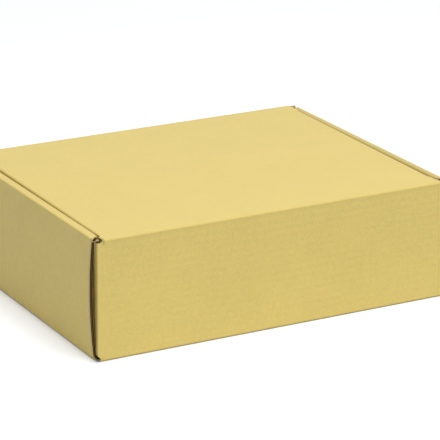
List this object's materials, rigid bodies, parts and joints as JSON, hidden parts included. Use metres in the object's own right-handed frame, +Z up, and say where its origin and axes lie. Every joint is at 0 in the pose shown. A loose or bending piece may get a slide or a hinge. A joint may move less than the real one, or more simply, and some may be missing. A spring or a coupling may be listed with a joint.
{
  "type": "closed cardboard mailer box",
  "caption": "Closed corrugated cardboard mailer box with rolled double side walls and a hinged tuck-in lid.",
  "frame": {"origin": "on the ground under the middle of the box", "axes": "+X along the lid's hinge, -Y out through the back wall that carries the hinge, +Z up"},
  "size_m": [0.335, 0.262, 0.1036],
  "materials": {
    "kraft_board": "matte kraft liner"
  },
  "bodies": {
    "tray": {"tray": "kraft_board"},
    "lid": {"lid": "kraft_board"}
  },
  "joints": [
    {"name": "lid_hinge", "type": "hinge", "parent": "tray", "child": "lid", "pos_m": [0, -0.131, 0.102], "axis": [1, 0, 0], "range_deg": [0, 180]}
  ]
}
